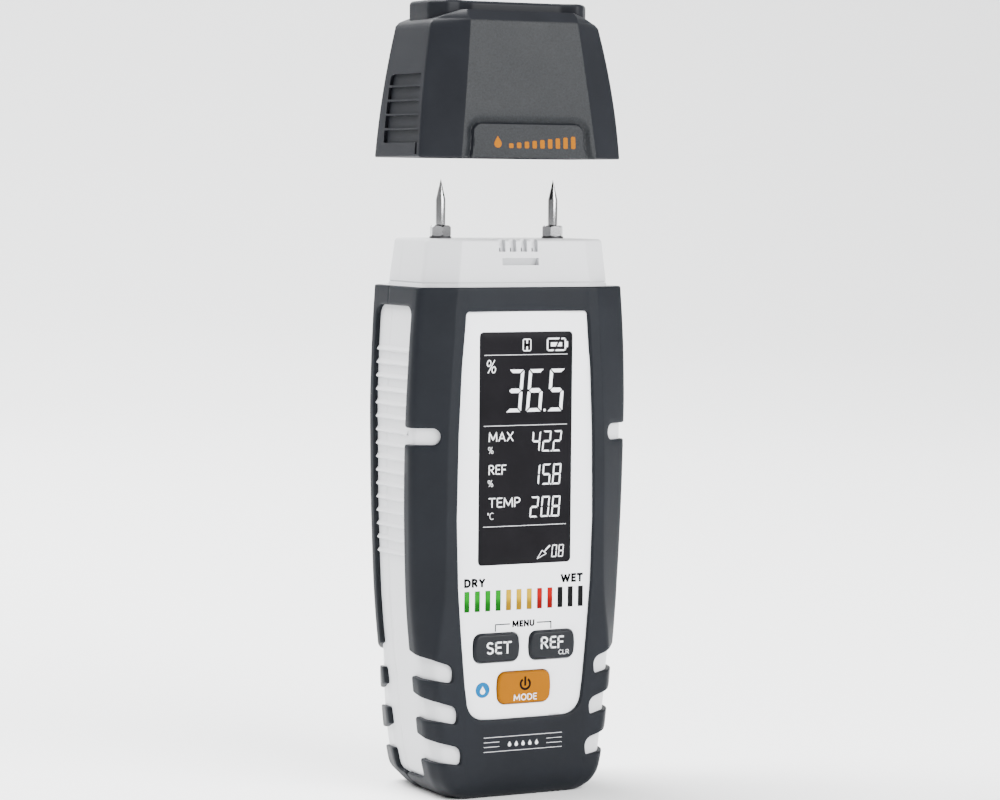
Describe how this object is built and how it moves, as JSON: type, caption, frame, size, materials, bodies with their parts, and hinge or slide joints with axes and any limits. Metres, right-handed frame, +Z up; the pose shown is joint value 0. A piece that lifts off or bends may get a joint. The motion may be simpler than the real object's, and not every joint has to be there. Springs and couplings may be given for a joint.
{
  "type": "pin-type moisture meter",
  "caption": "Handheld pin-type moisture meter with a lift-off protective cap, a display, push buttons and a battery bay.",
  "frame": {"origin": "middle of the flat base, which the meter stands on", "axes": "+Z up along the meter, towards the pins; the display faces -Y; +X to the right as the display is read"},
  "size_m": [0.0572, 0.0334, 0.1874],
  "materials": {
    "white_plastic": "satin moulded white ABS",
    "soft_skin": "fine matt overmoulded elastomer, dark grey",
    "label_film": "printed white film",
    "window_black": "tinted clear window over a black display",
    "lcd_glass": "display glass",
    "grey_plastic": "plain moulded grey",
    "milky_plastic": "milky light diffuser",
    "connector_rubber": "striped conductive rubber",
    "circuit_board": "green solder mask",
    "chip_black": "moulded epoxy",
    "light_green": "clear green light guide",
    "light_yellow": "clear yellow light guide",
    "light_red": "clear red light guide",
    "light_dark": "dark smoked light guide",
    "button_dark": "fine matt key",
    "button_orange": "fine matt orange key",
    "cap_plastic": "spark-eroded grain, anthracite",
    "steel": "ground steel",
    "nickel": "nickel plate",
    "brass": "turned brass",
    "zinc_steel": "zinc-plated steel",
    "cell_wrap": "printed cell sleeve, plain blue"
  },
  "bodies": {
    "housing": {"front_shell": "white_plastic", "rear_shell": "white_plastic", "front_skin": "soft_skin", "rear_skin": "soft_skin", "front_label": "label_film", "display_window": "window_black", "lcd_holder": "grey_plastic", "lcd_panel": "lcd_glass", "lcd_backlight": "milky_plastic", "lcd_connector": "connector_rubber", "main_board": "circuit_board", "main_chip": "chip_black", "indicator_leds": "milky_plastic", "green_light_bars": "light_green", "yellow_light_bars": "light_yellow", "red_light_bars": "light_red", "dark_light_bars": "light_dark", "tact_switches": "zinc_steel", "sensor_board": "circuit_board", "humidity_sensor": "milky_plastic", "electrode_sockets": "brass", "socket_bushings": "chip_black", "left_pin": "steel", "right_pin": "steel", "left_nut": "nickel", "right_nut": "nickel", "socket_leads": "brass", "battery_left": "cell_wrap", "battery_middle": "cell_wrap", "battery_right": "cell_wrap", "battery_springs": "zinc_steel", "battery_plates": "zinc_steel", "housing_screws": "zinc_steel", "board_screws": "zinc_steel"},
    "cap": {"cap_shell": "cap_plastic"},
    "set_key": {"set_button": "button_dark"},
    "ref_key": {"ref_button": "button_dark"},
    "mode_key": {"mode_button": "button_orange"},
    "bay_cover": {"battery_cover": "soft_skin"}
  },
  "joints": [
    {"name": "cap_lift", "type": "slide", "parent": "housing", "child": "cap", "axis": [0, 0, 1], "range_m": [-0.03, 0.03]},
    {"name": "set_press", "type": "slide", "parent": "housing", "child": "set_key", "axis": [0, 1, 0], "range_m": [0, 0.0008], "stiffness_N_per_m": 1500},
    {"name": "ref_press", "type": "slide", "parent": "housing", "child": "ref_key", "axis": [0, 1, 0], "range_m": [0, 0.0008], "stiffness_N_per_m": 1500},
    {"name": "mode_press", "type": "slide", "parent": "housing", "child": "mode_key", "axis": [0, 1, 0], "range_m": [0, 0.0008], "stiffness_N_per_m": 1500},
    {"name": "cover_lift", "type": "slide", "parent": "housing", "child": "bay_cover", "axis": [0, 1, 0], "range_m": [0, 0.025]}
  ]
}
